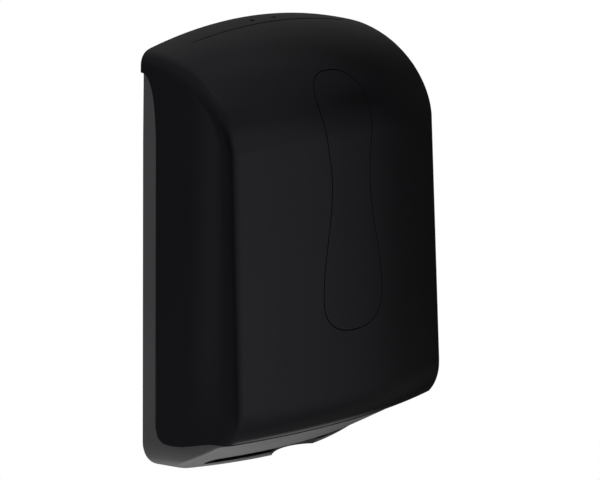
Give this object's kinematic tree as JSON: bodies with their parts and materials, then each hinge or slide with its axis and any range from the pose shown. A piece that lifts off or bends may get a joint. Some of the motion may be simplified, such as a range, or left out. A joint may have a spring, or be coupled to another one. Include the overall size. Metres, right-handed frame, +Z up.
{
  "type": "folded towel dispenser",
  "caption": "Wall-mounted folded paper towel dispenser with a crowned gloss cover that tips forward, a flush sight window, a key lock and an open towel slot with a finger notch.",
  "frame": {"origin": "middle of the four wall-screw holes, on the back face of the rear body", "axes": "+X to the right as seen from the front, +Y into the wall, +Z up"},
  "size_m": [0.2744, 0.1291, 0.3841],
  "materials": {
    "body_plastic": "fine satin grey moulding",
    "lock_plastic": "satin grey moulding",
    "steel": "bright steel",
    "spring_steel": "drawn spring wire",
    "nylon": "natural nylon",
    "cover_plastic": "polished black moulding",
    "window_plastic": "polished smoked black window",
    "rivet_plastic": "black moulding"
  },
  "bodies": {
    "rear": {"rear_body": "body_plastic", "lock_housing": "lock_plastic", "lock_screws": "steel", "lock_spring_left": "spring_steel", "lock_spring_right": "spring_steel", "hinge_bush_left": "nylon", "hinge_bush_right": "nylon"},
    "cover": {"front_cover": "cover_plastic", "sight_window": "window_plastic", "window_rivets": "rivet_plastic", "lock_keeper": "steel", "hinge_pin_left": "steel", "hinge_pin_right": "steel"},
    "lock": {"lock_slider": "nylon"}
  },
  "joints": [
    {"name": "cover_hinge", "type": "hinge", "parent": "rear", "child": "cover", "pos_m": [0, -0.0314, -0.153], "axis": [1, 0, 0], "range_deg": [0, 72]},
    {"name": "lock_press", "type": "slide", "parent": "rear", "child": "lock", "axis": [0, 0, -1], "range_m": [0, 0.006], "stiffness_N_per_m": 600, "springref_m": -0.004, "deforming": ["lock_spring_left", "lock_spring_right"]}
  ]
}
